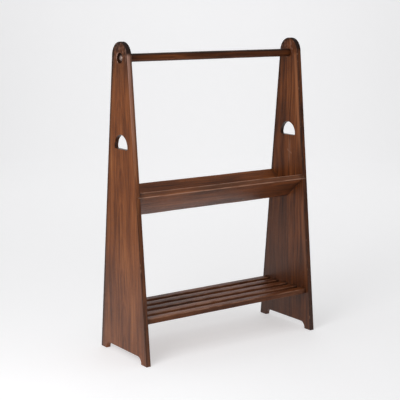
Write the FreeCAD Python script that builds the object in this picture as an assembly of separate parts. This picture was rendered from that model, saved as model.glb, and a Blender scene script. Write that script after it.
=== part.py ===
"""Freestanding hardwood rack.

Two tapered end boards carry a round top rail, a V-shaped trough and a shelf of five slats.
Everything is in millimetres.  X runs along the rail, -Y is the front, +Z is up.
The origin lies on the floor, midway between the end boards.
"""
import FreeCAD, Part
import math
import os

from FreeCAD import Vector

os.makedirs("parts", exist_ok=True)

# Whole rack
overall_width = 688.0
overall_height = 1000.0
board_thickness = 16.0
easing = 1.5                      # rounding of every arris a hand can reach

# End boards
foot_half_depth = 139.0           # half the depth at the floor
taper = 0.098                     # half depth lost per unit of height
arch_half_width = 106.0           # cut-out between the feet
arch_height = 22.0
arch_corner = 20.0
grip_half_width = 39.0            # hand-hold: flat sill below, half circle above
grip_sill = 669.0
grip_corner = 6.0

# Round top rail and the screws through its ends
rail_radius = 13.3
rail_height = 950.0
rail_socket = 5.0                 # how far the rail is let into each end board
recess_radius = 16.5              # counterbore that hides the screw head
recess_depth = 6.0
recess_bevel = 1.4                # slope broken round the recess's mouth
screw_head_radius = 8.5
screw_head_height = 4.6
screw_shank_radius = 3.0
screw_length = 40.0
slot_width = 1.8
slot_depth = 1.6

# V-shaped trough
trough_thickness = 18.5
trough_half_depth = 90.5          # from the middle to the lower arris of each board's top edge
trough_lip = 526.0                # height of that arris
trough_keel = 453.0               # lowest line, where the two boards meet
trough_housing = 8.0              # how far the boards are let into the end boards

# Shelf
slat_count = 5
slat_width = 27.0
slat_thickness = 17.0
slat_pitch = 49.6
shelf_top = 144.5
dowel_radius = 3.0
dowel_length = 30.0
dowel_in_board = 10.0             # part of the dowel that sits in the end board
dowel_offset = 6.5                # each slat end has one dowel either side of its middle
glue_gap = 0.1

# Derived positions
half_width = overall_width / 2
inner_face = half_width - board_thickness
along_x = Vector(1, 0, 0)


def point(y, z, x=0.0):
    return Vector(x, y, z)


def segment(start, end):
    return Part.makeLine(start, end)


def arc(start, middle, end):
    return Part.Arc(start, middle, end).toShape()


def extruded(edges, x_start, length):
    """Solid swept along X from a closed outline drawn in the YZ plane."""
    face = Part.Face(Part.Wire(edges))
    face.translate(Vector(x_start, 0, 0))
    return face.extrude(along_x * length)


def rod(radius, x_start, length, y, z):
    return Part.makeCylinder(radius, length, point(y, z, x_start), along_x)


def mirrored(shape):
    """The same shape on the opposite end of the rack."""
    return shape.mirror(Vector(0, 0, 0), along_x)


def end_board_outline():
    """Straight sides leaning in by the taper, closed by a top arc tangent to both."""
    lean = math.atan(taper)
    top_radius = (foot_half_depth - taper * overall_height) * math.cos(lean) / (1 - math.sin(lean))
    arc_centre = overall_height - top_radius
    shoulder_y = top_radius * math.cos(lean)
    shoulder_z = arc_centre + top_radius * math.sin(lean)
    flat_half = arch_half_width - arch_corner
    knee = arch_height - arch_corner
    corner_reach = arch_corner * math.sin(math.pi / 4)
    corner_y = flat_half + corner_reach
    corner_z = knee + corner_reach
    return [
        segment(point(foot_half_depth, 0), point(shoulder_y, shoulder_z)),
        arc(point(shoulder_y, shoulder_z), point(0, overall_height), point(-shoulder_y, shoulder_z)),
        segment(point(-shoulder_y, shoulder_z), point(-foot_half_depth, 0)),
        segment(point(-foot_half_depth, 0), point(-arch_half_width, 0)),
        segment(point(-arch_half_width, 0), point(-arch_half_width, knee)),
        arc(point(-arch_half_width, knee), point(-corner_y, corner_z), point(-flat_half, arch_height)),
        segment(point(-flat_half, arch_height), point(flat_half, arch_height)),
        arc(point(flat_half, arch_height), point(corner_y, corner_z), point(arch_half_width, knee)),
        segment(point(arch_half_width, knee), point(arch_half_width, 0)),
        segment(point(arch_half_width, 0), point(foot_half_depth, 0)),
    ]


def grip_outline():
    """Half-moon hand-hold: a level sill with small corner rounds under a half circle."""
    spring = grip_sill + grip_corner
    sill_half = grip_half_width - grip_corner
    corner_reach = grip_corner * math.sin(math.pi / 4)
    corner_y = sill_half + corner_reach
    corner_z = spring - corner_reach
    front = point(-grip_half_width, spring)
    back = point(grip_half_width, spring)
    return [
        segment(point(-sill_half, grip_sill), point(sill_half, grip_sill)),
        arc(point(sill_half, grip_sill), point(corner_y, corner_z), back),
        arc(back, point(0, spring + grip_half_width), front),
        arc(front, point(-corner_y, corner_z), point(-sill_half, grip_sill)),
    ]


def is_board_arris(edge):
    """True for the arrises around the two large faces, except those on the floor."""
    box = edge.BoundBox
    flat = box.XLength < 0.01
    return flat and box.ZMax > 0.01


def trough_section(side):
    """Corners of one trough board; side is -1 for the front board and +1 for the back."""
    slope = math.atan2(trough_lip - trough_keel, trough_half_depth)
    inward = -side * trough_thickness * math.sin(slope)
    upward = trough_thickness * math.cos(slope)
    return [
        point(0, trough_keel),
        point(side * trough_half_depth, trough_lip),
        point(side * trough_half_depth + inward, trough_lip + upward),
        point(0, trough_keel + trough_thickness / math.cos(slope)),
    ]


def trough_prism(side, length):
    """Trough board of full square section, centred on the rack."""
    corners = trough_section(side)
    edges = [segment(corners[i], corners[(i + 1) % 4]) for i in range(4)]
    return extruded(edges, -length / 2, length)


def slat_position(index):
    """Y of the middle of a slat; index 0 is the front slat."""
    return (index - (slat_count - 1) / 2) * slat_pitch


def dowel_axes():
    """Y of every dowel, two to each slat."""
    return [slat_position(i) + side * dowel_offset for i in range(slat_count) for side in (-1, 1)]


dowel_height = shelf_top - slat_thickness / 2


def end_board_left():
    """Board with hand-hold, foot arch, rail socket, screw recess, housings and dowel holes."""
    board = extruded(end_board_outline(), -half_width, board_thickness)
    board = board.cut(extruded(grip_outline(), -half_width, board_thickness))
    board = board.makeFillet(easing, [edge for edge in board.Edges if is_board_arris(edge)])
    for side in (-1, 1):
        board = board.cut(trough_prism(side, 2 * (inner_face + trough_housing)))
    board = board.cut(rod(rail_radius, -inner_face - rail_socket, rail_socket, 0, rail_height))
    board = board.cut(rod(recess_radius, -half_width, recess_depth, 0, rail_height))
    wide = recess_radius + recess_bevel
    mouth = Part.makeCone(wide, recess_radius, recess_bevel, point(0, rail_height, -half_width), along_x)
    board = board.cut(mouth)
    board = board.cut(rod(screw_shank_radius + glue_gap, -half_width, board_thickness, 0, rail_height))
    dowel_end = -inner_face - dowel_in_board
    for y in dowel_axes():
        board = board.cut(rod(dowel_radius + glue_gap, dowel_end, dowel_in_board, y, dowel_height))
    return board


def top_rail():
    """Round rail with a pilot hole in each end."""
    reach = inner_face + rail_socket
    rail = rod(rail_radius, -reach, 2 * reach, 0, rail_height)
    pilot = rod(screw_shank_radius + glue_gap, -reach, screw_length, 0, rail_height)
    return rail.cut(pilot).cut(mirrored(pilot))


def trough_board(side):
    """One board of the trough, its two top arrises eased."""
    board = trough_prism(side, 2 * (inner_face + trough_housing))
    long_edges = [edge for edge in board.Edges if edge.BoundBox.XLength > 1]
    return board.makeFillet(easing, [edge for edge in long_edges if edge.BoundBox.ZMin > trough_lip - 1])


def shelf_slat(index):
    """Slat with eased long arrises, drilled for two dowels at each end."""
    y = slat_position(index)
    corner = point(y - slat_width / 2, shelf_top - slat_thickness, -inner_face)
    slat = Part.makeBox(2 * inner_face, slat_width, slat_thickness, corner)
    slat = slat.makeFillet(easing, [edge for edge in slat.Edges if edge.BoundBox.XLength > 1])
    depth = dowel_length - dowel_in_board + glue_gap
    for side in (-1, 1):
        hole = rod(dowel_radius + glue_gap, -inner_face, depth, y + side * dowel_offset, dowel_height)
        slat = slat.cut(hole).cut(mirrored(hole))
    return slat


def slat_dowels():
    """Wooden dowels between the slats and both end boards."""
    start = -inner_face - dowel_in_board + glue_gap
    left = [rod(dowel_radius, start, dowel_length - glue_gap, y, dowel_height) for y in dowel_axes()]
    return Part.makeCompound(left + [mirrored(dowel) for dowel in left])


def screw_head(seat):
    """Domed head turned about the X axis, its flat side against the seat."""
    dome_radius = (screw_head_radius ** 2 + screw_head_height ** 2) / (2 * screw_head_height)
    half_angle = math.asin(screw_head_radius / dome_radius) / 2
    centre = seat - screw_head_height + dome_radius
    crown = point(0, 0, seat - screw_head_height)
    shoulder = point(dome_radius * math.sin(half_angle), 0, centre - dome_radius * math.cos(half_angle))
    rim = point(screw_head_radius, 0, seat)
    middle = point(0, 0, seat)
    outline = Part.Wire([arc(crown, shoulder, rim), segment(rim, middle), segment(middle, crown)])
    return Part.Face(outline).revolve(Vector(0, 0, 0), along_x, 360)


def rail_screw_left():
    """Round-headed slotted screw lying along X, its head in the left recess."""
    seat = -half_width + recess_depth
    head = screw_head(seat)
    head.translate(Vector(0, 0, rail_height))
    slot_corner = point(-slot_width / 2, rail_height - screw_head_radius, seat - screw_head_height)
    slot = Part.makeBox(slot_depth, slot_width, 2 * screw_head_radius, slot_corner)
    shank = rod(screw_shank_radius, seat, screw_length - recess_depth, 0, rail_height)
    return head.cut(slot).fuse(shank).removeSplitter()


def rail_screws():
    screw = rail_screw_left()
    return Part.makeCompound([screw, mirrored(screw)])


def write(name, shape):
    shape.exportStep("parts/" + name + ".step")


left_board = end_board_left()
write("end_board_left", left_board)
write("end_board_right", mirrored(left_board))
write("top_rail", top_rail())
write("trough_front_board", trough_board(-1))
write("trough_back_board", trough_board(1))
for number in range(slat_count):
    write("shelf_slat_%d" % (number + 1), shelf_slat(number))
write("slat_dowels", slat_dowels())
write("rail_screws", rail_screws())
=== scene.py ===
"""Looks of a freestanding hardwood rack: end boards, round rail, V trough and slatted shelf.

Lengths are in metres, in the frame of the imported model: X along the rail, -Y the front, Z up.
"""

import math

import bpy
import numpy as np
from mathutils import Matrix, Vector


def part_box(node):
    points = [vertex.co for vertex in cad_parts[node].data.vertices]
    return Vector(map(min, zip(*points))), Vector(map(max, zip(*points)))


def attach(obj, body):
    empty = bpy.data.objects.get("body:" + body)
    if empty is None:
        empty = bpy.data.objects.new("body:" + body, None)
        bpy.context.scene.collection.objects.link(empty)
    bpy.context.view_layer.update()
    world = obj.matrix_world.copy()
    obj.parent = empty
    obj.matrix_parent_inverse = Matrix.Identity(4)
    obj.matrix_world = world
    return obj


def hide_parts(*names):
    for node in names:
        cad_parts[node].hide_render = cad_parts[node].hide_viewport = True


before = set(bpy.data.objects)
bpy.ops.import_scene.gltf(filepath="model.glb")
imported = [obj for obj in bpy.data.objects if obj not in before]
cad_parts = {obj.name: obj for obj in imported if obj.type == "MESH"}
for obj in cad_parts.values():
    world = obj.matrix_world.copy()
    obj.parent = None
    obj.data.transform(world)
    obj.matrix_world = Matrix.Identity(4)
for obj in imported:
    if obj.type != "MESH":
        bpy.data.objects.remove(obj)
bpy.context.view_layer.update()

# End boards
BOARD_LOW, BOARD_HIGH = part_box("end_board_left")
BOARD_THICKNESS = BOARD_HIGH[0] - BOARD_LOW[0]
INNER_FACE = -BOARD_HIGH[0]
BOARD_MIDDLE = INNER_FACE + BOARD_THICKNESS / 2
FOOT_HALF_DEPTH = BOARD_HIGH[1]
BOARD_TOP = BOARD_HIGH[2]
TAPER = 0.098                     # half depth lost per unit of height
LEAN = math.atan(TAPER)
TOP_RADIUS = (FOOT_HALF_DEPTH - TAPER * BOARD_TOP) * math.cos(LEAN) / (1 - math.sin(LEAN))
ARC_CENTRE = BOARD_TOP - TOP_RADIUS

# Trough
TROUGH_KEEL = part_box("trough_back_board")[0][2]
TROUGH_THICKNESS = 0.0185
TROUGH_HALF_DEPTH = 0.0905        # from the middle to the lower arris of each board's top edge
TROUGH_RISE = 0.073               # from the keel up to that arris
TROUGH_SLOPE = math.atan2(TROUGH_RISE, TROUGH_HALF_DEPTH)
TROUGH_WIDTH = math.hypot(TROUGH_RISE, TROUGH_HALF_DEPTH)

# Rail
RAIL_LOW, RAIL_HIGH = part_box("top_rail")
RAIL_RADIUS = (RAIL_HIGH[2] - RAIL_LOW[2]) / 2
RAIL_HEIGHT = (RAIL_LOW[2] + RAIL_HIGH[2]) / 2
RECESS_RADIUS = 0.0165            # of the hole round each rail screw

SLAT_COUNT = 5


# ---------------------------------------------------------------- shapes

WAVE_LENGTHS = np.array([0.41, 0.17, 0.063])
WAVE_SHARES = np.array([0.5, 0.33, 0.17])
STICK_STATIONS = 221              # cross-sections along a trough board or slat
ARRIS_STEPS = 6                   # points round each arris
ARRIS_DRAWS = 20                  # keeps the seeds of the arrises apart from those of the corners
TROUGH_ARRIS = (0.0009, 0.0021)   # least and greatest rounding
TROUGH_PLANING = 0.0005           # how far the corners wander inwards
SLAT_ARRIS = (0.0009, 0.0022)
SLAT_PLANING = 0.0004
SLAT_SEED = 40
RAIL_STATIONS = 241
RAIL_SIDES = 48
RAIL_SEED = 5
RAIL_SHAVING = 0.00035
FACET_COUNT = 7
FACET_DEPTH = 0.00012             # half the way from a facet's ridge to its hollow
FACET_TWIST = 9                   # radians that the facets turn in a metre


def unevenness(x, seed, depth):
    """Sum of three slow sine waves along x, between 0 and depth: what a hand plane leaves."""
    phases = np.random.default_rng(seed).uniform(0, 2 * math.pi, len(WAVE_LENGTHS))
    waves = 0.5 + 0.5 * np.sin(2 * math.pi * x[:, None] / WAVE_LENGTHS + phases)
    return depth * (waves * WAVE_SHARES).sum(axis=1)


def rounded_section(corners, radii):
    """Anticlockwise polygon with an arc of its own radius at each corner, at every station.

    The arc of radius r at corner P touches both sides a tangent length r*tan(turn/2) from P.
    Its centre lies r to the left of the incoming side, and it sweeps through the turn.
    """
    incoming = corners - np.roll(corners, 1, axis=1)
    incoming /= np.linalg.norm(incoming, axis=2, keepdims=True)
    outgoing = np.roll(incoming, -1, axis=1)
    cross = incoming[..., 0] * outgoing[..., 1] - incoming[..., 1] * outgoing[..., 0]
    dot = (incoming * outgoing).sum(axis=2)
    turn = np.arctan2(cross, dot)
    left = np.stack([-incoming[..., 1], incoming[..., 0]], axis=2)
    tangent = radii * np.tan(turn / 2)
    centre = corners - incoming * tangent[..., None] + left * radii[..., None]
    angle = turn[..., None] * np.linspace(0, 1, ARRIS_STEPS)
    sideways = incoming[:, :, None, :] * np.sin(angle)[..., None]
    outwards = left[:, :, None, :] * np.cos(angle)[..., None]
    points = centre[:, :, None, :] + radii[..., None, None] * (sideways - outwards)
    return points.reshape(len(corners), -1, 2)


def carried_along_x(name, x, sections):
    """Closed mesh: section i of (y, z) points stands at x[i], quads join them, a fan closes each end."""
    stations, around = sections.shape[:2]
    ring = np.concatenate([np.broadcast_to(x[:, None, None], (stations, around, 1)), sections], axis=2)
    ends = np.array([ring[0].mean(axis=0), ring[-1].mean(axis=0)])
    points = np.concatenate([ring.reshape(-1, 3), ends])
    near = np.arange(around)
    far = (near + 1) % around
    base = np.arange(stations - 1)[:, None] * around
    quads = np.stack([base + near, base + far, base + around + far, base + around + near], axis=2)
    last = (stations - 1) * around
    first_fan = np.stack([far, near, np.full(around, stations * around)], axis=1)
    last_fan = np.stack([last + near, last + far, np.full(around, stations * around + 1)], axis=1)
    mesh = bpy.data.meshes.new(name)
    mesh.from_pydata(points, [], quads.reshape(-1, 4).tolist() + first_fan.tolist() + last_fan.tolist())
    smooth = np.ones(len(mesh.polygons), dtype=bool)
    smooth[-2 * around:] = False
    mesh.polygons.foreach_set("use_smooth", smooth)
    piece = bpy.data.objects.new(name, mesh)
    bpy.context.scene.collection.objects.link(piece)
    return piece


def planed_stick(name, x, corners, seed, arris_range, planing):
    """Stick of polygon section whose corners wander inwards and whose arrises wear unevenly."""
    inward = corners.mean(axis=0) - corners
    inward /= np.linalg.norm(inward, axis=1, keepdims=True)
    draws = range(seed, seed + len(corners))
    wander = np.stack([unevenness(x, draw, planing) for draw in draws], axis=1)
    moved = corners[None] + inward[None] * wander[..., None]
    low, high = arris_range
    radii = np.stack([low + unevenness(x, draw + ARRIS_DRAWS, high - low) for draw in draws], axis=1)
    return carried_along_x(name, x, rounded_section(moved, radii))


def top_rail():
    """Cylinder along X, its radius less a slow unevenness and seven shallow facets that twist slowly."""
    x = np.linspace(RAIL_LOW[0], RAIL_HIGH[0], RAIL_STATIONS)
    turn = np.linspace(0, 2 * math.pi, RAIL_SIDES, endpoint=False)
    shaving = unevenness(x, RAIL_SEED, RAIL_SHAVING)[:, None]
    facets = FACET_DEPTH * (1 + np.sin(FACET_COUNT * turn[None] + FACET_TWIST * x[:, None]))
    reach = RAIL_RADIUS - shaving - facets
    section = np.stack([reach * np.cos(turn), RAIL_HEIGHT + reach * np.sin(turn)], axis=2)
    return carried_along_x("round_rail", x, section)


def trough_board(name, node, side, seed):
    """Leaning board: keel, lower lip, upper lip and inner keel, the keel mitred in the middle plane."""
    low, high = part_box(node)
    x = np.linspace(low[0], high[0], STICK_STATIONS)
    lip = np.array([side * TROUGH_HALF_DEPTH, TROUGH_KEEL + TROUGH_RISE])
    through = TROUGH_THICKNESS * np.array([-side * math.sin(TROUGH_SLOPE), math.cos(TROUGH_SLOPE)])
    keel = np.array([0.0, TROUGH_KEEL])
    inner_keel = np.array([0.0, TROUGH_KEEL + TROUGH_THICKNESS / math.cos(TROUGH_SLOPE)])
    corners = np.array([keel, lip, lip + through, inner_keel])
    if side < 0:
        corners = corners[::-1]
    return planed_stick(name, x, corners, seed, TROUGH_ARRIS, TROUGH_PLANING)


def shelf_slat(number):
    """Rectangular stick between the end boards."""
    low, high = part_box("shelf_slat_%d" % number)
    x = np.linspace(low[0], high[0], STICK_STATIONS)
    corners = np.array([[low[1], low[2]], [high[1], low[2]], [high[1], high[2]], [low[1], high[2]]])
    seed = SLAT_SEED + number
    return planed_stick("slat_%d" % number, x, corners, seed, SLAT_ARRIS, SLAT_PLANING)


# ---------------------------------------------------------------- nodes

MIX_FACTOR, MIX_FIRST, MIX_SECOND, MIX_RESULT = 0, 6, 7, 2    # a Mix node's sockets for colours


class Value:
    """A number that changes over the surface; arithmetic on it adds Math nodes."""

    def __init__(self, nodes, socket):
        self.nodes = nodes
        self.socket = socket

    def worked(self, operation, *others):
        """What a Math node makes of this value and the others."""
        operands = dict(enumerate([self, *others]))
        made = self.nodes.node("ShaderNodeMath", {"operation": operation}, operands)
        return Value(self.nodes, made.outputs[0])

    def __add__(self, other):
        return self.worked("ADD", other)

    __radd__ = __add__

    def __mul__(self, other):
        return self.worked("MULTIPLY", other)

    __rmul__ = __mul__

    def __sub__(self, other):
        return self.worked("SUBTRACT", other)

    def __rsub__(self, other):
        return (self * -1.0).worked("ADD", other)

    def root(self):
        return self.worked("SQRT")

    def size(self):
        return self.worked("ABSOLUTE")

    def lesser(self, other):
        return self.worked("MINIMUM", other)

    def greater(self, other):
        return self.worked("MAXIMUM", other)

    def sine(self):
        return self.worked("SINE")

    def ramp(self, start, end):
        """0 at start, 1 at end, a smooth step between and level past them; start may be the larger."""
        settings = {"interpolation_type": "SMOOTHSTEP", "clamp": True}
        sockets = {"Value": self, "From Min": start, "From Max": end, "To Min": 0.0, "To Max": 1.0}
        if start > end:
            sockets.update({"From Min": end, "From Max": start, "To Min": 1.0, "To Max": 0.0})
        return Value(self.nodes, self.nodes.node("ShaderNodeMapRange", settings, sockets).outputs[0])


class Nodes:
    """Nodes of a material or of the world, under construction."""

    def __init__(self, owner):
        owner.use_nodes = True
        self.tree = owner.node_tree

    def node(self, kind, settings=None, sockets=None):
        """Adds a node: its settings first, then the value or link of each socket."""
        made = self.tree.nodes.new(kind)
        for key, value in (settings or {}).items():
            if key == "stops":
                self.set_stops(made.color_ramp, value)
            else:
                setattr(made, key, value)
        for key, value in (sockets or {}).items():
            self.feed(made.inputs[key], value)
        return made

    def set_stops(self, ramp, stops):
        while len(ramp.elements) < len(stops):
            ramp.elements.new(0.5)
        for element, (place, colour) in zip(ramp.elements, stops):
            element.position = place
            element.color = (*colour, 1.0)

    def feed(self, socket, value):
        if isinstance(value, Value):
            self.tree.links.new(value.socket, socket)
        elif isinstance(value, bpy.types.NodeSocket):
            self.tree.links.new(value, socket)
        else:
            socket.default_value = value


class Finish(Nodes):
    """A material under construction; place holds the three coordinates of a point of the piece."""

    def __init__(self, name):
        self.material = bpy.data.materials.new(name)
        super().__init__(self.material)
        self.shader = self.tree.nodes["Principled BSDF"]
        position = self.node("ShaderNodeTexCoord").outputs["Object"]
        split = self.node("ShaderNodeSeparateXYZ", None, {0: position})
        self.place = [Value(self, socket) for socket in split.outputs]

    def set(self, **sockets):
        """Feeds the shader's sockets; a space in a socket's name is written as an underscore."""
        for key, value in sockets.items():
            self.feed(self.shader.inputs[key.replace("_", " ")], value)

    def noise(self, place, cells, shift=(0.0, 0.0, 0.0), detail=2.0, roughness=0.5):
        """Fractal noise, about 0 to 1, of so many cells to the metre each way, moved by shift cells."""
        moved = [way * count + start for way, count, start in zip(place, cells, shift)]
        vector = self.node("ShaderNodeCombineXYZ", None, dict(enumerate(moved))).outputs[0]
        sockets = {"Vector": vector, "Scale": 1.0, "Detail": detail, "Roughness": roughness}
        return Value(self, self.node("ShaderNodeTexNoise", None, sockets).outputs[0])

    def tint(self, factor, first, second):
        """Colour between first and second."""
        sockets = {MIX_FACTOR: factor, MIX_FIRST: self.opaque(first), MIX_SECOND: self.opaque(second)}
        return self.node("ShaderNodeMix", {"data_type": "RGBA"}, sockets).outputs[MIX_RESULT]

    def opaque(self, colour):
        return (*colour, 1.0) if isinstance(colour, tuple) else colour

    def stained(self, tone, stops):
        """Colour of a tone by a row of stops."""
        return self.node("ShaderNodeValToRGB", {"stops": stops}, {0: tone}).outputs[0]

    def relief(self, height, depth):
        """Bump of the given depth where height goes from 0 to 1."""
        return self.node("ShaderNodeBump", None, {"Height": height, "Distance": depth}).outputs[0]


# ---------------------------------------------------------------- waxed wood

MAHOGANY = [
    (0.0, (0.020, 0.006, 0.003)),
    (0.30, (0.085, 0.025, 0.008)),
    (0.50, (0.205, 0.060, 0.017)),
    (0.72, (0.330, 0.115, 0.035)),
    (1.0, (0.480, 0.220, 0.090)),
]
# Dark colour laid on as stain and dirt, and also as painted shade
DARK_STAIN_AND_SHADE = (0.014, 0.005, 0.003)
PORE_WAX = (0.012, 0.005, 0.003)
# pale colour of rubbed wood, also laid on as a painted highlight along arrises
RUBBED_WOOD_AND_HIGHLIGHT = (0.45, 0.23, 0.145)
# pale colour of faded wood, also laid on as a painted highlight
FADED_WOOD_AND_HIGHLIGHT = (0.36, 0.20, 0.152)
# greyish-brown tint laid on as a painted sheen low on the end boards
PAINTED_SHEEN_TINT = (0.098, 0.040, 0.023)
PALE_STREAK = (0.37, 0.135, 0.052)

# Cells of noise to the metre: over the grain, through the board, along the grain
BEND_CELLS = (4.0, 4.0, 1.9)
RIPPLE_CELLS = (16.0, 16.0, 6.0)
STREAK_CELLS = (155.0, 120.0, 5.5)
BAND_CELLS = (42.0, 30.0, 2.2)
FIBRE_CELLS = (700.0, 700.0, 16.0)
PORE_CELLS = (1500.0, 1500.0, 70.0)
CLOUD_CELLS = (9.0, 9.0, 5.0)
BEND_REACH = 0.050                # how far the slow noise carries the rings sideways
RIPPLE_REACH = 0.012
LATE_WOOD_LAG = 0.9               # radians between a ring's light line and its dark one
LATE_WOOD = (0.55, 1.0)           # part of the ring's wave that is dark
PORES = (0.60, 0.72)              # part of the finest noise that is a pore
RING_SHARE = 0.07
FIBRE_SHARE = 0.22
BAND_SHARE = 0.46
CLOUD_SHARE = 0.50
MIDDLE_TONE = 0.51
PORE_DARKNESS = 0.5
PORE_ROUGHNESS = 0.25
PALE_SHEEN = 0.10                 # how much smoother the palest wood is than the darkest
PORE_DEPTH = 0.00025


def sawn(pith, drift, tilt, rings, lift, streaks):
    """How one board was sawn: its pith, the pith's slants, rings to the metre, tone and streakiness."""
    return {"pith": pith, "drift": drift, "tilt": tilt, "rings": rings, "lift": lift, "streaks": streaks}


LEFT_FIGURE = sawn(pith=(0.012, 0.40), drift=-0.02, tilt=0.055, rings=170.0, lift=0.008, streaks=0.70)
RIGHT_FIGURE = sawn(pith=(-0.03, -0.28), drift=-0.04, tilt=-0.03, rings=150.0, lift=-0.110, streaks=0.80)
RAIL_FIGURE = sawn(pith=(0.03, -0.90), drift=0.01, tilt=0.004, rings=210.0, lift=-0.120, streaks=0.60)
FRONT_FIGURE = sawn(pith=(0.06, -0.40), drift=0.03, tilt=0.01, rings=170.0, lift=-0.10, streaks=0.50)
BACK_FIGURE = sawn(pith=(-0.05, -0.31), drift=0.02, tilt=0.03, rings=160.0, lift=0.01, streaks=0.60)
SLAT_FIGURE = sawn(pith=(0.09, -0.02), drift=0.02, tilt=0.01, rings=190.0, lift=-0.050, streaks=0.55)


def grain(finish, across, thick, along, seed, figure):
    """Tone of the wood and its pores.

    across and thick are metres over the grain, along is metres with it. The growth rings are
    circles about a pith outside the board. The pith drifts and tilts along the board, so the
    rings leave pointed arches on the wide face, and slow noise bends them.
    """
    straight = (across, thick, along)
    bend = finish.noise(straight, BEND_CELLS, (seed, seed, 0.0)) - 0.5
    ripple = finish.noise(straight, RIPPLE_CELLS, (0.0, seed, seed)) - 0.5
    strayed = across + bend * BEND_REACH + ripple * RIPPLE_REACH
    pith_across = strayed + figure["pith"][0] + along * figure["drift"]
    pith_thick = thick + figure["pith"][1] + along * figure["tilt"]
    ring = (pith_across * pith_across + pith_thick * pith_thick).root() * figure["rings"]
    line = (ring * (2 * math.pi)).sine() * 0.5
    late_wood = (ring * (2 * math.pi) + LATE_WOOD_LAG).sine().ramp(*LATE_WOOD)
    bent = (strayed, thick, along)
    streak = finish.noise(bent, STREAK_CELLS, (seed, 0.0, 0.0), 3.0, 0.6) - 0.5
    band = finish.noise(bent, BAND_CELLS, (0.0, seed, 0.0)) - 0.5
    fibre = finish.noise(straight, FIBRE_CELLS, (0.0, seed, 0.0)) - 0.5
    pore = finish.noise(straight, PORE_CELLS, (seed, 0.0, 0.0), 1.0).ramp(*PORES)
    cloud = finish.noise(straight, CLOUD_CELLS, (0.0, 0.0, seed), 3.0) - 0.5
    rings = line * RING_SHARE - late_wood * RING_SHARE
    tone = rings + fibre * FIBRE_SHARE + band * BAND_SHARE + cloud * CLOUD_SHARE
    return tone + streak * figure["streaks"] + MIDDLE_TONE, pore


class WaxedWood(Finish):
    """Dark waxed hardwood with the grain along Z when upright and along X otherwise."""

    def __init__(self, name, upright, seed, figure):
        super().__init__(name)
        x, y, z = self.place
        thick, along = (x, z) if upright else (z, x)
        self.tone, self.pore = grain(self, y, thick, along, seed, figure)
        self.colour = self.stained(self.tone + figure["lift"], MAHOGANY)
        self.lay_colour(self.pore * PORE_DARKNESS, PORE_WAX)

    def lay_colour(self, amount, colour):
        """Lays a colour over what is there: none of it where amount is 0, nothing else where it is 1."""
        self.colour = self.tint(amount, self.colour, colour)

    def close(self, polish, gloss):
        """Joins colour, sheen and relief to the shader; polish is the roughness of middling wood."""
        roughness = polish + self.pore * PORE_ROUGHNESS - (self.tone - 0.5) * PALE_SHEEN
        self.set(Base_Color=self.colour, Roughness=roughness, Specular_IOR_Level=gloss)
        self.set(Normal=self.relief(self.pore * -1.0, PORE_DEPTH))
        return self.material


# ---------------------------------------------------------------- end boards

PATCH_CELLS = (40.0, 40.0, 9.0)
SPOT_CELLS = (130.0, 130.0, 100.0)
NICK_CELLS = (30.0, 50.0, 38.0)
SCUFF_Y, SCUFF_Z = -0.012, 0.612  # middle of the scuff under the hand-hold

# Heights between which a mark comes in, or goes out where the first is the greater
ABOVE_FLOOR = (0.03, 0.04)
FOOT_BAND_IN, FOOT_BAND_OUT = (0.12, 0.24), (0.48, 0.38)
GRIP_BAND_IN, GRIP_BAND_OUT = (0.54, 0.72), (0.972, 0.935)
FOOT_DARKENING = (0.42, 0.05)
TOP_DARKENING = (0.82, 0.98)
LOW_SHEEN_OUT = (0.50, 0.36)
DARK_FRONT_OUT = (0.60, 0.46)
DARK_INNER_FRONT_IN = (0.46, 0.62)
HANDLED_FRONT_IN = (0.42, 0.60)
CROWN_IN = (0.925, 0.965)
END_GRAIN_IN = (0.953, 0.968)

# Ways in from the outline, in the same manner
EDGE_FACE = (0.0022, 0.0012)
BOARD_ARRIS = (0.0034, 0.0014)
FACE_IN = (0.008, 0.012)
BAND_IN, BAND_OUT = (0.003, 0.009), (0.024, 0.012)
NARROW_SHADE_MARGIN = (0.012, 0.003)
WIDE_SHADE_MARGIN = (0.024, 0.005)

BELOW_FACE = (0.0010, 0.0030)     # way in from the nearer face at which a hollow starts

# How strong each mark is on a board, from 0 for none; the foot mark is partly painted shade and the low
# sheen mark a painted sheen
LEFT_MARKS = {"edge": 0.88, "foot": 0.10, "crown": 0.55, "streak": 0.0, "painted_low_sheen": 0.10, "scuff": 0.0}
RIGHT_MARKS = {"edge": 0.0, "foot": 0.34, "crown": 0.12, "streak": 0.9, "painted_low_sheen": 0.55, "scuff": 0.6}


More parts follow.
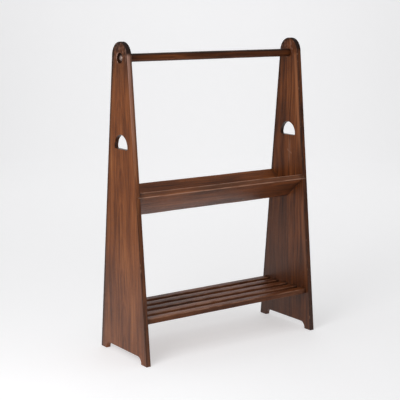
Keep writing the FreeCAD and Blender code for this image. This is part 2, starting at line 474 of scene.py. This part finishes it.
class EndBoardWood(WaxedWood):
    """Waxed wood that knows the places on an end board; each method lays on one kind of mark, among them
    painted shade, painted highlights and a painted sheen.

    rim is the way in from the board's outline and depth the way in from its nearer face.
    """

    def __init__(self, name, seed, figure, mark_strengths):
        super().__init__(name, upright=True, seed=seed, figure=figure)
        self.mark_strengths = mark_strengths
        x, y, z = self.place
        side = (FOOT_HALF_DEPTH - TAPER * z - y.size()) * math.cos(LEAN)
        rise = (z - ARC_CENTRE).greater(0.0)
        arc = TOP_RADIUS - (y * y + rise * rise).root()
        over = z.ramp(ARC_CENTRE, ARC_CENTRE + 0.002)
        self.rim = side * (1.0 - over) + arc * over
        self.depth = BOARD_THICKNESS / 2 - (x.size() - BOARD_MIDDLE).size()
        self.front_half = y.ramp(0.0, -0.01)
        self.edge_face = self.rim.ramp(*EDGE_FACE)
        self.end_grain = self.edge_face * z.ramp(*END_GRAIN_IN)
        below_face = self.depth.ramp(*BELOW_FACE)
        self.hollow = below_face * self.rim.ramp(*FACE_IN) * z.ramp(*ABOVE_FLOOR)
        self.patch = self.noise(self.place, PATCH_CELLS, (0.0, 0.0, seed), 3.0)
        self.spot = self.noise(self.place, SPOT_CELLS, (0.0, 0.0, seed))
        self.nick = self.noise(self.place, NICK_CELLS, (0.0, 0.0, seed), 4.0, 0.7)

    def light_bands(self):
        """Pale streak just behind the front edge, beside the hand-hold and above the foot."""
        z = self.place[2]
        near_front = self.rim.ramp(*BAND_IN) * self.rim.ramp(*BAND_OUT) * self.front_half
        beside_grip = z.ramp(*GRIP_BAND_IN) * z.ramp(*GRIP_BAND_OUT)
        above_foot = z.ramp(*FOOT_BAND_IN) * z.ramp(*FOOT_BAND_OUT) * 0.5
        band = near_front * (beside_grip + above_foot) * (self.patch + 0.35)
        self.lay_colour((band * self.mark_strengths["streak"]).lesser(1.0), PALE_STREAK)

    def darken_and_shade(self):
        """Darkening towards the top, painted shade along the outline that is widest at the back margin,
        and darkening towards the floor that is partly dirt and partly painted shade.
        """
        z = self.place[2]
        back_half = 1.0 - self.front_half
        # painted shade along the outline, stronger and wider behind the middle
        narrow = self.rim.ramp(*NARROW_SHADE_MARGIN) * (back_half * 0.6 + 0.4)
        wide = self.rim.ramp(*WIDE_SHADE_MARGIN) * back_half * 0.7
        top = z.ramp(*TOP_DARKENING) * self.mark_strengths["crown"]
        # darker towards the floor: partly dirt, partly painted shade
        foot = z.ramp(*FOOT_DARKENING) * self.mark_strengths["foot"]
        darken_and_shade = top + (narrow + wide) * (1.0 - self.edge_face) * 0.45 + foot
        self.lay_colour((darken_and_shade * (self.patch + 0.5)).lesser(0.9), DARK_STAIN_AND_SHADE)

    def painted_low_sheen(self):
        """Painted sheen over the lower part: a greyish-brown tint, most of it behind the middle."""
        y, z = self.place[1:]
        low = z.ramp(*LOW_SHEEN_OUT)
        behind = y.ramp(-0.06, 0.02) * 0.7 + 0.3
        # painted sheen standing for the pale floor's reflection
        self.lay_colour(low * (self.patch * 0.6 + 0.7) * behind * self.mark_strengths["painted_low_sheen"], PAINTED_SHEEN_TINT)

    def scuff(self):
        """Pale mark on the inner face: an upright rub crossed by a short slanting scratch."""
        x, y, z = self.place
        sideways = y - SCUFF_Y
        upright = z - SCUFF_Z
        rub = sideways.size().ramp(0.009, 0.002) * upright.size().ramp(0.055, 0.015) * 0.55
        slanting = (upright - sideways * 0.5).size()
        scratch = slanting.ramp(0.004, 0.001) * sideways.size().ramp(0.015, 0.008)
        inner_face = x.size().ramp(BOARD_MIDDLE, BOARD_MIDDLE - 0.002)
        mark = rub.greater(scratch) * inner_face
        self.lay_colour(mark * (self.patch + 0.3) * self.mark_strengths["scuff"], RUBBED_WOOD_AND_HIGHLIGHT)

    def crown(self):
        """Dark end grain round the top, and a mottle of worn and dirty spots on the faces below it."""
        self.lay_colour(self.end_grain * 0.95, DARK_STAIN_AND_SHADE)
        crown = self.place[2].ramp(*CROWN_IN) * (1.0 - self.edge_face)
        self.lay_colour(crown * self.spot.ramp(0.50, 0.70) * 0.45, FADED_WOOD_AND_HIGHLIGHT)
        self.lay_colour(crown * self.spot.ramp(0.52, 0.36) * self.mark_strengths["crown"] * 1.15, DARK_STAIN_AND_SHADE)

    def front_edge(self):
        """Dark low down, painted shade along its inner half, faded where hands reach; the fading is
        strongest on the outer half, where it is also a painted highlight on the rounded edge. Gives the
        faded part.
        """
        x, _, z = self.place
        front = self.front_half * self.edge_face * (1.0 - self.end_grain)
        self.lay_colour(front * z.ramp(*DARK_FRONT_OUT) * 0.45, DARK_STAIN_AND_SHADE)
        outer_half = x.size().ramp(BOARD_MIDDLE - 0.003, BOARD_MIDDLE + 0.002)
        # painted shade on the inner half of the rounded front edge
        self.lay_colour(front * (1.0 - outer_half) * z.ramp(*DARK_INNER_FRONT_IN) * 0.5, DARK_STAIN_AND_SHADE)
        more_above = (z * 2.4 - 1.3).greater(0.05)
        patchy = z.ramp(*HANDLED_FRONT_IN) * more_above * (self.patch * 0.8 + 0.6)
        # the outer half fades most: wear and a painted highlight
        worn = front * (outer_half * 0.75 + 0.25) * patchy * self.mark_strengths["edge"]
        self.lay_colour(worn.lesser(1.0), FADED_WOOD_AND_HIGHLIGHT)
        return worn

    def recess(self):
        """Painted shade in every hollow, a painted shadow high in the screw's recess, and a pale
        crescent behind it, partly rubbed wood and partly a painted highlight.
        """
        y, z = self.place[1:]
        # painted shade in the hand-hold, the recess and every other hollow
        self.lay_colour(self.hollow * 0.76, DARK_STAIN_AND_SHADE)
        over_rail = z - RAIL_HEIGHT
        from_rail = (y * y + over_rail * over_rail).root()
        inside = from_rail.ramp(RECESS_RADIUS + 0.0012, RECESS_RADIUS - 0.0004) * self.hollow
        # painted shadow under the recess's upper rim
        self.lay_colour(inside * over_rail.ramp(-0.010, 0.006) * 0.9, DARK_STAIN_AND_SHADE)
        past_recess = from_rail - RECESS_RADIUS
        mouth = past_recess.ramp(0.0, 0.001) * past_recess.ramp(0.004, 0.002) * y.ramp(0.004, 0.012)
        # pale crescent on the rim: rubbed wood and a painted highlight
        self.lay_colour(mouth * self.spot.ramp(0.35, 0.55) * 0.7, FADED_WOOD_AND_HIGHLIGHT)

    def arrises(self, worn):
        """Painted shade as a dark line along the arrises, except where the edge is worn, with rubbed
        nicks.
        """
        arris = self.rim.greater(self.depth).ramp(*BOARD_ARRIS)
        # painted shade: dark line along the arrises
        self.lay_colour(arris * (0.36 - worn.lesser(0.36)), DARK_STAIN_AND_SHADE)
        self.lay_colour(arris * self.nick.ramp(0.58, 0.72) * 0.60 * (1.0 - self.end_grain), RUBBED_WOOD_AND_HIGHLIGHT)


def end_board_finish(name, seed, figure, mark_strengths):
    """Waxed board with its marks of use and its painted shade, highlights and sheen, each laid over the
    one before.
    """
    wood = EndBoardWood(name, seed, figure, mark_strengths)
    wood.light_bands()
    wood.darken_and_shade()
    wood.painted_low_sheen()
    wood.scuff()
    wood.crown()
    worn = wood.front_edge()
    wood.recess()
    wood.arrises(worn)
    return wood.close(polish=wood.end_grain * 0.45 + 0.33, gloss=0.28)


# ---------------------------------------------------------------- rail, trough and shelf

CRUMB_CELLS = (90.0, 0.0, 0.0)
RAIL_PATCH_CELLS = (14.0, 30.0, 30.0)
LIP_CELLS = (22.0, 60.0, 60.0)
SLAT_CELLS = (24.0, 60.0, 60.0)
STICK_ARRIS = (0.0034, 0.0012)    # where the rubbing and painted highlight of an arris starts and where it is full
LIP_FACE = (0.0020, 0.0008)
SLAT_SIDE = (0.0016, 0.0006)
SLAT_GRAIN_STEP = 2.3             # how far the grain moves from slat to slat
JOINT_DARKENING = 0.022                # length of the darkened end of a stick


def dirt_and_shade_at_joints(wood):
    """Wax and dust gathered where a stick meets the end boards, and painted shade in that corner."""
    crumbs = wood.noise(wood.place, CRUMB_CELLS)
    near_board = wood.place[0].size().ramp(INNER_FACE - JOINT_DARKENING, INNER_FACE)
    # dust and painted shade where the stick meets the board
    wood.lay_colour(near_board * (crumbs * 0.5 + 0.3), DARK_STAIN_AND_SHADE)


def rail_finish():
    """Rail with painted shade along its top and under it, and darker towards its left end."""
    wood = WaxedWood("waxed_rail", upright=False, seed=7.9, figure=RAIL_FIGURE)
    x, _, z = wood.place
    patchy = wood.noise(wood.place, RAIL_PATCH_CELLS)
    top = z.ramp(RAIL_HEIGHT + 0.003, RAIL_HEIGHT + 0.011)
    under = z.ramp(RAIL_HEIGHT - 0.008, RAIL_HEIGHT - 0.012)
    # painted shade on the top and the underside of the rail
    wood.lay_colour((top * 0.8 + under * 0.5) * (patchy * 0.5 + 0.7), DARK_STAIN_AND_SHADE)
    wood.lay_colour(x.ramp(0.0, -0.30) * 0.32, DARK_STAIN_AND_SHADE)
    dirt_and_shade_at_joints(wood)
    return wood.close(polish=0.36, gloss=0.15)


def trough_finish(name, side, seed, figure, lip_rub_and_highlight):
    """Trough board: its lip rubbed pale along both arrises, the pale line partly a painted highlight,
    and its inner keel darker, partly dust and partly painted shade in the crease.
    """
    wood = WaxedWood(name, upright=False, seed=seed, figure=figure)
    y, z = wood.place[1:]
    run = y * (side * math.cos(TROUGH_SLOPE)) + (z - TROUGH_KEEL) * math.sin(TROUGH_SLOPE)
    lift = (z - TROUGH_KEEL) * math.cos(TROUGH_SLOPE) - y * (side * math.sin(TROUGH_SLOPE))
    to_lip = TROUGH_WIDTH - run
    to_face = TROUGH_THICKNESS / 2 - (lift - TROUGH_THICKNESS / 2).size()
    patch = wood.noise(wood.place, LIP_CELLS, (seed, 0.0, 0.0), 3.0)
    inner_keel = run.ramp(0.030, 0.004) * lift.ramp(TROUGH_THICKNESS / 2, TROUGH_THICKNESS)
    # painted shade and dust in the crease of the keel
    wood.lay_colour(inner_keel * 0.5, DARK_STAIN_AND_SHADE)
    lip_face = to_lip.ramp(*LIP_FACE) * patch * 0.25
    arris = to_lip.greater(to_face).ramp(*STICK_ARRIS) * (patch.ramp(0.30, 0.58) * 0.8 + 0.3)
    # pale lip and arrises: rubbed wood and a painted highlight
    wood.lay_colour(((lip_face + arris) * lip_rub_and_highlight).lesser(0.9), RUBBED_WOOD_AND_HIGHLIGHT)
    dirt_and_shade_at_joints(wood)
    return wood.close(polish=0.40, gloss=0.29)


def slat_finish(number):
    """Shelf slat with rubbed upper arrises, partly painted highlights, and darker sides."""
    seed = SLAT_GRAIN_STEP * number
    wood = WaxedWood("waxed_slat_%d" % number, upright=False, seed=seed, figure=SLAT_FIGURE)
    y, z = wood.place[1:]
    low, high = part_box("shelf_slat_%d" % number)
    to_side = (high[1] - low[1]) / 2 - (y - (high[1] + low[1]) / 2).size()
    to_top = high[2] - z
    patch = wood.noise(wood.place, SLAT_CELLS, (seed, 0.0, 0.0), 3.0)
    wood.lay_colour(to_side.ramp(*SLAT_SIDE) * 0.45, DARK_STAIN_AND_SHADE)
    arris = to_side.greater(to_top).ramp(*STICK_ARRIS)
    # rubbed upper arrises, partly a painted highlight
    wood.lay_colour(arris * (patch.ramp(0.38, 0.62) * 0.5 + 0.12), RUBBED_WOOD_AND_HIGHLIGHT)
    dirt_and_shade_at_joints(wood)
    return wood.close(polish=0.42, gloss=0.21)


# ---------------------------------------------------------------- screws and dowels

SCREW_METAL = (0.36, 0.27, 0.24)
SCREW_TARNISH = (0.13, 0.075, 0.055)
DARK_BEECH = (0.50, 0.33, 0.19)
PALE_BEECH = (0.66, 0.48, 0.31)
TARNISH_CELLS = (300.0, 300.0, 300.0)
TARNISH_DEPTH = 0.0001
FLECK_CELLS = (60.0, 900.0, 900.0)


def screw_finish():
    """Old brass, dulled to a pinkish grey under brown tarnish."""
    finish = Finish("dull_screw")
    spots = finish.noise(finish.place, TARNISH_CELLS, detail=3.0)
    tarnish = spots.ramp(0.38, 0.66)
    finish.set(Base_Color=finish.tint(tarnish, SCREW_METAL, SCREW_TARNISH))
    finish.set(Metallic=0.55 - tarnish * 0.35, Roughness=tarnish * 0.2 + 0.42)
    finish.set(Normal=finish.relief(spots, TARNISH_DEPTH))
    return finish.material


def beech_finish():
    """Pale raw dowel wood."""
    finish = Finish("raw_beech")
    fleck = finish.noise(finish.place, FLECK_CELLS)
    finish.set(Base_Color=finish.tint(fleck, DARK_BEECH, PALE_BEECH), Roughness=fleck * 0.1 + 0.65)
    return finish.material


# ---------------------------------------------------------------- pieces

def dress(node, finish):
    """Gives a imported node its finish."""
    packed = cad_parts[node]
    packed.data.materials.clear()
    packed.data.materials.append(finish)


def stand_for(piece, node, finish):
    """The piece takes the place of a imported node."""
    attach(piece, "root")
    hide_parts(node)
    piece.data.materials.append(finish)


# A finish's seed moves its grain, so that no two pieces are alike
left_finish = end_board_finish("waxed_left_board", seed=3.1, figure=LEFT_FIGURE, mark_strengths=LEFT_MARKS)
dress("end_board_left", left_finish)
right_finish = end_board_finish("waxed_right_board", seed=11.7, figure=RIGHT_FIGURE, mark_strengths=RIGHT_MARKS)
dress("end_board_right", right_finish)
dress("slat_dowels", beech_finish())
dress("rail_screws", screw_finish())
stand_for(top_rail(), "top_rail", rail_finish())
front_board = trough_board("trough_front", "trough_front_board", side=-1, seed=60)
front_finish = trough_finish("waxed_trough_front", side=-1, seed=5.3, figure=FRONT_FIGURE, lip_rub_and_highlight=0.9)
stand_for(front_board, "trough_front_board", front_finish)
back_board = trough_board("trough_back", "trough_back_board", side=1, seed=80)
back_finish = trough_finish("waxed_trough_back", side=1, seed=9.2, figure=BACK_FIGURE, lip_rub_and_highlight=0.3)
stand_for(back_board, "trough_back_board", back_finish)
for number in range(1, SLAT_COUNT + 1):
    stand_for(shelf_slat(number), "shelf_slat_%d" % number, slat_finish(number))


# ---------------------------------------------------------------- studio

HEADING = math.radians(35.37)
DIP = math.radians(10.33)
FORWARD = np.array([math.sin(HEADING), math.cos(HEADING), 0.0])
RIGHTWARD = np.array([math.cos(HEADING), -math.sin(HEADING), 0.0])
EYE_DISTANCE = 3.571
FOCAL_LENGTH = 97.6               # millimetres, as is the sensor
SENSOR_WIDTH = 36.0
AIM = Vector((-0.042, 0.0, 0.4774))
WHITE = (1.0, 1.0, 1.0, 1.0)
PAPER_WHITE = (0.66, 0.66, 0.675, 1.0)
PAPER_GLOW = 0.46
PAPER_HALF_WIDTH = 1.45           # of the part that lights the rack
PAPER_FADE = 0.15                 # either side of that width
PAPER_END = 60.0                  # how far the sheet goes to the front and to each side
BEND_START = 4.0
BEND_RADIUS = 1.5
BEND_STATIONS = 25
WALL_TOP = 8.0
ROOM_GREY = 0.28
FAR_PAPER = 0.64                  # brightness of the world where it meets the far paper


def paper_finish():
    """Pale paper. Past the roll's width it lights the rack only as a grey room would."""
    finish = Finish("pale_paper")
    x, y = finish.place[:2]
    across = x * RIGHTWARD[0] + y * RIGHTWARD[1]
    near = across.size().ramp(PAPER_HALF_WIDTH + PAPER_FADE, PAPER_HALF_WIDTH - PAPER_FADE)
    finish.set(Base_Color=PAPER_WHITE, Roughness=0.9, Specular_IOR_Level=0.1)
    finish.set(Emission_Color=WHITE, Emission_Strength=PAPER_GLOW)
    looked_at = Value(finish, finish.node("ShaderNodeLightPath").outputs["Is Camera Ray"])
    room = finish.node("ShaderNodeEmission", None, {"Color": WHITE, "Strength": ROOM_GREY})
    shaders = {0: looked_at.greater(near), 1: room.outputs[0], 2: finish.shader.outputs[0]}
    both = finish.node("ShaderNodeMixShader", None, shaders)
    finish.feed(finish.tree.nodes["Material Output"].inputs["Surface"], both.outputs[0])
    return finish.material


def paper_sweep():
    """Floor that turns up through a quarter circle into a wall, one pale sheet square to the view."""
    turn = np.linspace(0, math.pi / 2, BEND_STATIONS)
    bend = BEND_START + BEND_RADIUS * np.sin(turn)
    along = np.concatenate([[-PAPER_END], bend, [BEND_START + BEND_RADIUS]])
    height = np.concatenate([[0.0], BEND_RADIUS - BEND_RADIUS * np.cos(turn), [WALL_TOP]])
    across = np.array([-PAPER_END, PAPER_END])
    flat = across[:, None, None] * RIGHTWARD + along[None, :, None] * FORWARD
    points = flat + np.stack([height * 0, height * 0, height], axis=1)[None]
    start = np.arange(len(along) - 1)
    quads = np.stack([start, start + len(along), start + len(along) + 1, start + 1], axis=1)
    mesh = bpy.data.meshes.new("paper_sweep")
    mesh.from_pydata(points.reshape(-1, 3), [], quads[:, ::-1].tolist())
    mesh.polygons.foreach_set("use_smooth", np.ones(len(quads), dtype=bool))
    sweep = bpy.data.objects.new("paper_sweep", mesh)
    bpy.context.scene.collection.objects.link(sweep)
    mesh.materials.append(paper_finish())


def soft_light(name, place, aim, width, height, power):
    """Rectangular lamp at a place, turned to its aim and hidden from the lens."""
    lamp = bpy.data.lights.new(name, "AREA")
    lamp.shape = "RECTANGLE"
    lamp.size = width
    lamp.size_y = height
    lamp.energy = power
    light = bpy.data.objects.new(name, lamp)
    light.location = place
    light.rotation_euler = (Vector(aim) - Vector(place)).to_track_quat("-Z", "Y").to_euler()
    light.visible_camera = False
    bpy.context.scene.collection.objects.link(light)


def pale_room():
    """World that is pale to look at and throws the light of a grey room."""
    world = bpy.data.worlds.new("pale_room")
    nodes = Nodes(world)
    looked_at = nodes.node("ShaderNodeLightPath").outputs["Is Camera Ray"]
    levels = {"Value": looked_at, "To Min": ROOM_GREY, "To Max": FAR_PAPER}
    level = nodes.node("ShaderNodeMapRange", None, levels)
    sky = nodes.tree.nodes["Background"]
    nodes.feed(sky.inputs["Color"], WHITE)
    nodes.feed(sky.inputs["Strength"], level.outputs[0])
    bpy.context.scene.world = world


def studio():
    """Pale sheet and room, a large lamp overhead, one at the left and one on the wall behind."""
    bpy.context.scene.view_settings.view_transform = "Standard"
    pale_room()
    paper_sweep()
    soft_light("ceiling_panel", (-0.3, -0.2, 3.6), (0.0, 0.0, 0.0), width=3.4, height=3.0, power=30.0)
    soft_light("left_panel", (-1.60, -0.72, 1.15), (-0.20, 0.0, 0.6), width=0.9, height=1.3, power=16.0)
    behind_rack = (*(FORWARD[:2] * 2.2), 3.4)
    low_on_wall = (*(FORWARD[:2] * 5.5), 0.9)
    soft_light("wall_wash", behind_rack, low_on_wall, width=3.0, height=0.8, power=34.0)


def camera():
    """Long lens at front left, looking a little down."""
    towards = Vector((*(FORWARD[:2] * math.cos(DIP)), -math.sin(DIP)))
    lens = bpy.data.cameras.new("view")
    lens.lens = FOCAL_LENGTH
    lens.sensor_width = SENSOR_WIDTH
    eye = bpy.data.objects.new("view", lens)
    eye.location = AIM - towards * EYE_DISTANCE
    eye.rotation_euler = towards.to_track_quat("-Z", "Y").to_euler()
    bpy.context.scene.collection.objects.link(eye)
    bpy.context.scene.camera = eye


studio()
camera()
